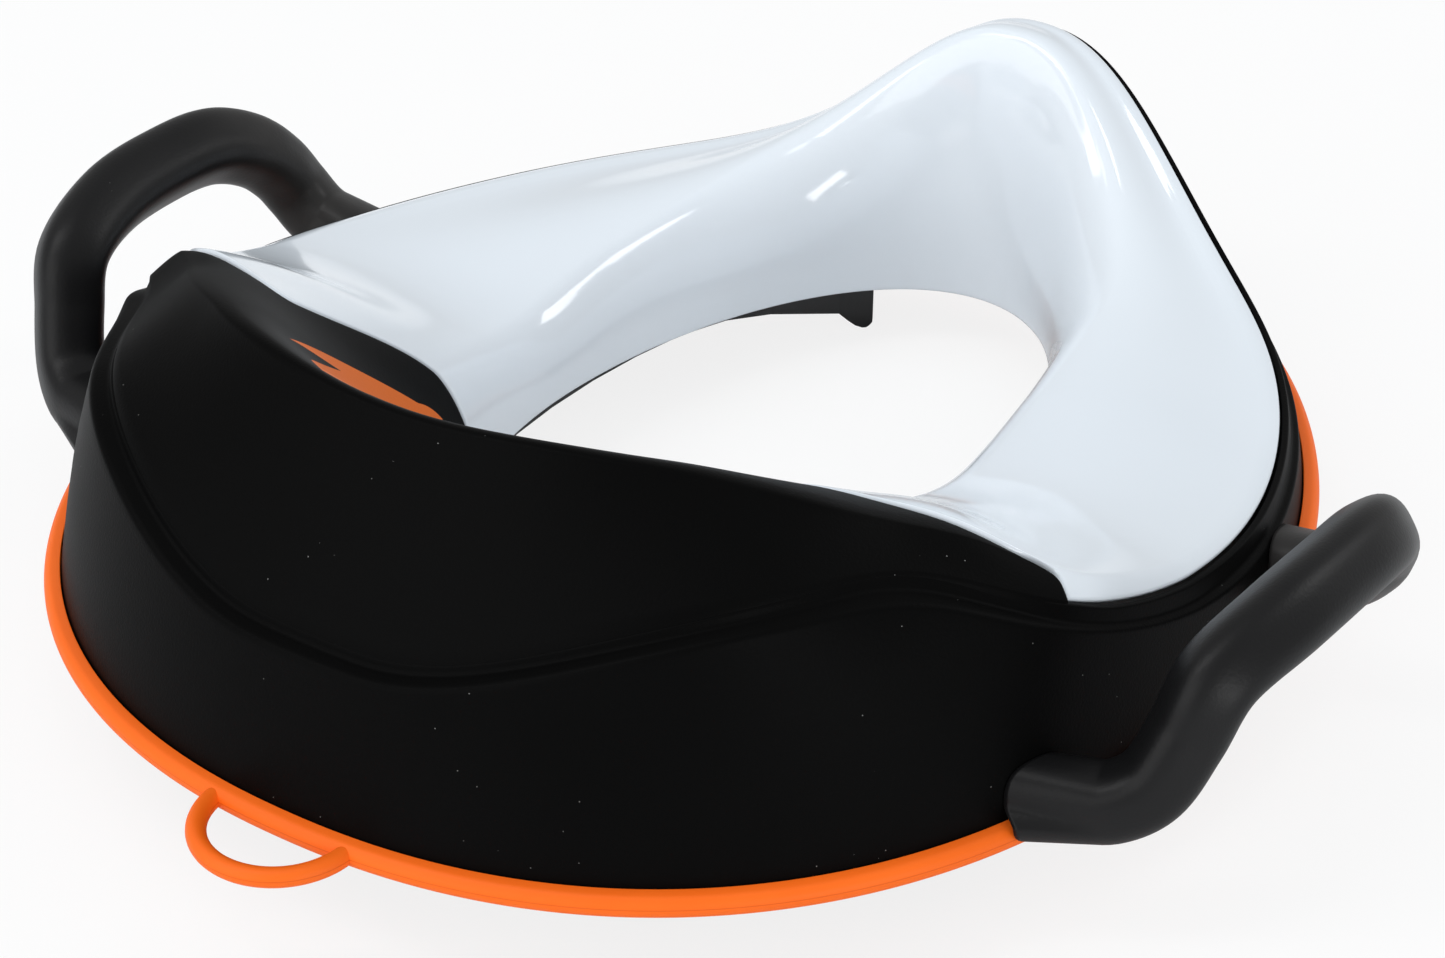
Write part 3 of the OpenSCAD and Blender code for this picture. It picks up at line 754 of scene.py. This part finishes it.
def build_sheen_end(nodes, links, group_in, group_out):
    """Painted sheen: a ramp along y from Start to End, broken up by noise, that stands in for a highlight."""
    place = nodes.new("ShaderNodeTexCoord").outputs["Object"]
    split = nodes.new("ShaderNodeSeparateXYZ")
    links.new(place, split.inputs["Vector"])
    ramp = nodes.new("ShaderNodeMapRange")
    ramp.interpolation_type = "SMOOTHSTEP"
    links.new(split.outputs["Y"], ramp.inputs["Value"])
    links.new(group_in.outputs["Start"], ramp.inputs["From Min"])
    links.new(group_in.outputs["End"], ramp.inputs["From Max"])
    patchy = nodes.new("ShaderNodeTexNoise")
    patchy.inputs["Scale"].default_value = SHEEN_PATCHES
    patchy.inputs["Detail"].default_value = 6
    links.new(place, patchy.inputs["Vector"])
    strength = math_node(nodes, links, "MULTIPLY", patchy.outputs["Fac"], SHEEN_STRENGTH)
    links.new(math_node(nodes, links, "MULTIPLY", ramp.outputs["Result"], strength), group_out.inputs["Mask"])


GRAIN = effect_group("Moulded grain", {"Grain size": 900, "Wave size": 22}, ["Grain", "Wave"], build_grain)
DUST = effect_group("Dust specks", {"Density": 260, "Speck": 0.05, "Rarity": 0.55}, ["Mask"], build_dust)
# Painted sheen: paler patches towards the handles' front ends, standing in for a highlight
SHEEN_END = effect_group("Painted sheen end", {"Start": 0.0, "End": 0.04}, ["Mask"], build_sheen_end)


def add_group(mat, group, **values):
    """Places a group in a material and sets its inputs by name."""
    node = mat.node_tree.nodes.new("ShaderNodeGroup")
    node.node_tree = group
    for label, value in values.items():
        node.inputs[label.replace("_", " ")].default_value = value
    return node


def plastic(name, colour, tint, roughness, grain, bump, **sockets):
    """A moulded plastic: colour drifting slightly towards tint and roughness between its two values by
    the wave, bump (strength, distance) by the grain. Other sockets are set by their names."""
    mat = bpy.data.materials.new(name)
    mat.use_nodes = True
    nodes = mat.node_tree.nodes
    links = mat.node_tree.links
    bsdf = nodes["Principled BSDF"]
    for label, value in sockets.items():
        bsdf.inputs[label.replace("_", " ")].default_value = value
    texture = add_group(mat, GRAIN, **grain)
    drift = nodes.new("ShaderNodeMix")
    drift.data_type = "RGBA"
    drift.inputs["A"].default_value = colour
    drift.inputs["B"].default_value = tint
    links.new(texture.outputs["Wave"], drift.inputs["Factor"])
    links.new(drift.outputs["Result"], bsdf.inputs["Base Color"])
    uneven = math_node(nodes, links, "MULTIPLY_ADD", texture.outputs["Wave"], roughness[1] - roughness[0])
    uneven.node.inputs[2].default_value = roughness[0]
    links.new(uneven, bsdf.inputs["Roughness"])
    relief = nodes.new("ShaderNodeBump")
    relief.inputs["Strength"].default_value = bump[0]
    relief.inputs["Distance"].default_value = bump[1]
    links.new(texture.outputs["Grain"], relief.inputs["Height"])
    links.new(relief.outputs["Normal"], bsdf.inputs["Normal"])
    return mat, nodes, links, bsdf, drift.outputs["Result"]


def overlay(nodes, links, bsdf, under, mask, colour):
    """Lays a colour over what feeds the base colour, by a mask."""
    layer = nodes.new("ShaderNodeMix")
    layer.data_type = "RGBA"
    layer.inputs["B"].default_value = colour
    links.new(mask, layer.inputs["Factor"])
    links.new(under, layer.inputs["A"])
    links.new(layer.outputs["Result"], bsdf.inputs["Base Color"])
    return layer.outputs["Result"]


# Orange stripe, on the panel's angle t in degrees and profile place u: each side is the parabola
# t = start + curve (u - middle)^2, and the notch lies between two straight lines
STRIPE_LEFT = {"start": -134.5, "curve": 136.0, "middle": 0.75}
STRIPE_RIGHT = {"start": -93.0, "curve": -195.0, "middle": 0.3}
STRIPE_TOP_U = 0.292
STRIPE_END_U = 0.762
NOTCH_SIDE_T = -93.0
NOTCH_SIDE_SLOPE = -58.0
NOTCH_TOP_T = -99.5
NOTCH_TOP_SLOPE = -0.00867


def stripe_mask(nodes, links):
    """A leaf with a notch cut into its top: between its left and right parabolas and its two ends, less
    what lies right of t = NOTCH_SIDE_T + NOTCH_SIDE_SLOPE u and over
    u = STRIPE_TOP_U + NOTCH_TOP_SLOPE (t - NOTCH_TOP_T)."""
    split = nodes.new("ShaderNodeSeparateXYZ")
    place = nodes.new("ShaderNodeUVMap")
    place.uv_map = "UVMap"
    links.new(place.outputs["UV"], split.inputs["Vector"])
    u = split.outputs["Y"]

    def step(operation, a, b, c=0.0):
        """A Math node with its third value."""
        value = math_node(nodes, links, operation, a, b)
        value.node.inputs[2].default_value = c
        return value

    def parabola(start, curve, middle):
        """The angle on one side's parabola at u."""
        off = step("ABSOLUTE", step("SUBTRACT", u, middle), 0.0)
        return step("MULTIPLY_ADD", step("POWER", off, 2.0), curve, start)

    t = step("MULTIPLY", split.outputs["X"], 360.0)
    left = step("GREATER_THAN", t, parabola(**STRIPE_LEFT))
    right = step("LESS_THAN", t, parabola(**STRIPE_RIGHT))
    below_top = step("GREATER_THAN", u, STRIPE_TOP_U)
    above_end = step("LESS_THAN", u, STRIPE_END_U)
    notch_side = step("GREATER_THAN", t, step("MULTIPLY_ADD", u, NOTCH_SIDE_SLOPE, NOTCH_SIDE_T))
    notch_foot = STRIPE_TOP_U - NOTCH_TOP_SLOPE * NOTCH_TOP_T
    notch_top = step("LESS_THAN", u, step("MULTIPLY_ADD", t, NOTCH_TOP_SLOPE, notch_foot))
    leaf = step("MULTIPLY", step("MULTIPLY", left, right), step("MULTIPLY", below_top, above_end))
    return step("MULTIPLY", leaf, step("SUBTRACT", 1.0, step("MULTIPLY", notch_side, notch_top)))


def seat_gloss():
    """Glossy white moulding with a thin clear sheen."""
    mat, *_ = plastic(
        "Gloss white moulding", srgb(229, 236, 243), srgb(233, 240, 246), (0.09, 0.13),
        {"Grain_size": 350, "Wave_size": 12}, (0.02, 0.0004), Coat_Weight=0.35, Coat_Roughness=0.04,
    )
    return mat


def shell_black(name, striped, shine):
    """Satin black of the shell, with the orange stripe on the panel's inner face where striped."""
    mat, nodes, links, bsdf, base = plastic(
        name, srgb(5, 5, 5), srgb(8, 8, 8), (0.42, 0.50),
        {"Grain_size": 1400, "Wave_size": 18}, (0.25, 0.0003), Specular_IOR_Level=shine,
    )
    dust = add_group(mat, DUST, Density=240, Speck=0.035, Rarity=0.56)
    dusty = overlay(nodes, links, bsdf, base, dust.outputs["Mask"], srgb(120, 120, 118))
    if striped:
        overlay(nodes, links, bsdf, dusty, stripe_mask(nodes, links), srgb(222, 112, 48))
    return mat


def handle_black():
    """Matte black of the handles, dusty, and paler towards their front ends by a painted sheen."""
    mat, nodes, links, bsdf, base = plastic(
        "Matte black handle", srgb(16, 16, 17), srgb(21, 21, 22), (0.36, 0.44),
        {"Grain_size": 1100, "Wave_size": 25}, (0.2, 0.0003), Specular_IOR_Level=0.22,
    )
    dust = add_group(mat, DUST, Density=330, Speck=0.035, Rarity=0.6)
    dusty = overlay(nodes, links, bsdf, base, dust.outputs["Mask"], srgb(110, 110, 108))
    # Painted sheen: the front ends paler, standing in for the back light's highlight
    painted_sheen = add_group(mat, SHEEN_END, Start=0.004, End=0.04)
    overlay(nodes, links, bsdf, dusty, painted_sheen.outputs["Mask"], srgb(72, 70, 68))
    return mat


def rim_orange():
    """Soft orange with a faint moulding line round the bead: darker where |z - SEAM_Z| < SEAM_HALF."""
    mat, nodes, links, bsdf, base = plastic(
        "Soft orange rim", srgb(244, 102, 17), srgb(250, 112, 27), (0.45, 0.55),
        {"Grain_size": 700, "Wave_size": 30}, (0.12, 0.0003), Specular_IOR_Level=0.2,
    )
    split = nodes.new("ShaderNodeSeparateXYZ")
    links.new(nodes.new("ShaderNodeTexCoord").outputs["Object"], split.inputs["Vector"])
    height = math_node(nodes, links, "SUBTRACT", split.outputs["Z"], SEAM_Z)
    near = math_node(nodes, links, "LESS_THAN", math_node(nodes, links, "ABSOLUTE", height, 0.0), SEAM_HALF)
    seam = math_node(nodes, links, "MULTIPLY", near, SEAM_STRENGTH)
    overlay(nodes, links, bsdf, base, seam, srgb(214, 84, 12))
    return mat


def ring_black():
    """Satin black of the locating ring."""
    mat, *_ = plastic(
        "Satin black ring", srgb(20, 20, 21), srgb(28, 28, 29), (0.35, 0.45),
        {"Grain_size": 900, "Wave_size": 30}, (0.15, 0.0003),
    )
    return mat


def dress(piece, material, node):
    """Gives a new piece its finish and puts it in place of the CAD node."""
    piece.data.materials.append(material)
    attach(piece, "root")
    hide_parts(node)


SEAT_MAT = seat_gloss()
SHELL_MAT = shell_black("Satin black skirt", False, 0.03)
PANEL_MAT = shell_black("Satin black panel", True, 0.03)
HANDLE_MAT = handle_black()
RIM_MAT = rim_orange()
RING_MAT = ring_black()

dress(make_seat(), SEAT_MAT, "seat")
dress(make_skirt(), SHELL_MAT, "outer_shell")
dress(make_backrest(), PANEL_MAT, "outer_shell")
dress(make_rim(), RIM_MAT, "non_slip_rim")
dress(make_loop(), RIM_MAT, "non_slip_rim")
dress(make_handle("right_grip", 1), HANDLE_MAT, "right_handle")
dress(make_handle("left_grip", -1), HANDLE_MAT, "left_handle")

ring_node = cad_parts["locating_ring"]
ring_node.data.materials.clear()
ring_node.data.materials.append(RING_MAT)


# Softboxes: name, place, target, width and height, power, and turn on the axis in degrees
LAMPS = (
    ("overhead", (0.05, -0.25, 1.6), (0.02, 0.15, 0.08), (0.3, 0.3), 0.8, 0),
    ("above_rear", (-0.46, -0.65, 1.25), (0.03, 0.15, 0.085), (0.3, 1.0), 4.7, -34),
    ("low_right", (1.27, -0.58, 0.22), (-0.038, 0.128, 0.05), (0.46, 0.28), 3.0, 0),
    ("fill_rear", (-0.5, -1.7, 0.7), (0, 0.1, 0.06), (1.8, 1.2), 10, 0),
    ("back_right", (0.9, 1.0, 1.0), (0, 0, 0.05), (0.4, 0.4), 3, 0),
)

# Pale surround: its colour and strength as light, and its strength in reflections
SURROUND_COLOUR = (0.94, 0.97, 1, 1)
SURROUND_LIGHT = 0.72
SURROUND_MIRRORED = 0.6

# Floor: half its side, its grey, and how much of it glows white to the camera
FLOOR_HALF = 6.0
FLOOR_GREY = 0.9
FLOOR_GLOW = 0.82

# The photograph's view, found from the object's own proportions
CAMERA_PLACE = Vector((0.46812, -0.67405, 0.56348))
CAMERA_LOOK = Vector((-0.4732, 0.6949, -0.5414))
CAMERA_LENS = 92.97


def area_light(name, place, target, size, power, roll):
    """A softbox of the given width and height that faces its target, turned by roll degrees on its axis."""
    data = bpy.data.lights.new(name, "AREA")
    data.shape = "RECTANGLE"
    data.size, data.size_y = size
    data.energy = power
    lamp = bpy.data.objects.new(name, data)
    lamp.location = place
    facing = (Vector(target) - Vector(place)).to_track_quat("-Z", "Y")
    lamp.rotation_euler = (facing @ Quaternion((0, 0, 1), math.radians(roll))).to_euler()
    bpy.context.scene.collection.objects.link(lamp)


def make_world():
    """White backdrop for the camera, a softer pale surround for the light."""
    world = bpy.data.worlds.new("Studio")
    bpy.context.scene.world = world
    world.use_nodes = True
    nodes = world.node_tree.nodes
    links = world.node_tree.links
    nodes.clear()
    out = nodes.new("ShaderNodeOutputWorld")
    seen = nodes.new("ShaderNodeBackground")
    seen.inputs["Color"].default_value = (1, 1, 1, 1)
    seen.inputs["Strength"].default_value = 1
    lit = nodes.new("ShaderNodeBackground")
    lit.inputs["Color"].default_value = SURROUND_COLOUR
    lit.inputs["Strength"].default_value = SURROUND_LIGHT
    mirrored = nodes.new("ShaderNodeBackground")
    mirrored.inputs["Strength"].default_value = SURROUND_MIRRORED
    path = nodes.new("ShaderNodeLightPath")
    gloss = nodes.new("ShaderNodeMixShader")
    links.new(path.outputs["Is Glossy Ray"], gloss.inputs[0])
    links.new(lit.outputs[0], gloss.inputs[1])
    links.new(mirrored.outputs[0], gloss.inputs[2])
    blend = nodes.new("ShaderNodeMixShader")
    links.new(path.outputs["Is Camera Ray"], blend.inputs[0])
    links.new(gloss.outputs[0], blend.inputs[1])
    links.new(seen.outputs[0], blend.inputs[2])
    links.new(blend.outputs[0], out.inputs["Surface"])


def make_floor():
    """Plain pale floor that stays white to the camera and keeps the object's soft shadow."""
    mesh = bpy.data.meshes.new("floor")
    h = FLOOR_HALF
    mesh.from_pydata([(-h, -h, 0), (h, -h, 0), (h, h, 0), (-h, h, 0)], [], [(0, 1, 2, 3)])
    floor = bpy.data.objects.new("floor", mesh)
    bpy.context.scene.collection.objects.link(floor)
    mat = bpy.data.materials.new("Pale floor")
    mat.use_nodes = True
    nodes = mat.node_tree.nodes
    links = mat.node_tree.links
    bsdf = nodes["Principled BSDF"]
    bsdf.inputs["Base Color"].default_value = (FLOOR_GREY, FLOOR_GREY, FLOOR_GREY, 1)
    bsdf.inputs["Roughness"].default_value = 0.8
    bsdf.inputs["Specular IOR Level"].default_value = 0.1
    path = nodes.new("ShaderNodeLightPath")
    glow = nodes.new("ShaderNodeEmission")
    glow.inputs["Strength"].default_value = 1
    blend = nodes.new("ShaderNodeMixShader")
    share = math_node(nodes, links, "MULTIPLY", path.outputs["Is Camera Ray"], FLOOR_GLOW)
    links.new(share, blend.inputs[0])
    links.new(bsdf.outputs[0], blend.inputs[1])
    links.new(glow.outputs[0], blend.inputs[2])
    links.new(blend.outputs[0], nodes["Material Output"].inputs["Surface"])
    mesh.materials.append(mat)


def make_camera():
    """Camera at the photograph's place, with its direction and lens."""
    data = bpy.data.cameras.new("Camera")
    data.sensor_width = 36
    data.lens = CAMERA_LENS
    data.clip_start = 0.01
    data.clip_end = 50
    camera = bpy.data.objects.new("Camera", data)
    camera.location = CAMERA_PLACE
    camera.rotation_euler = CAMERA_LOOK.to_track_quat("-Z", "Y").to_euler()
    bpy.context.scene.collection.objects.link(camera)
    bpy.context.scene.camera = camera


make_world()
make_floor()
for lamp_facts in LAMPS:
    area_light(*lamp_facts)
make_camera()
bpy.context.scene.view_settings.view_transform = "Standard"
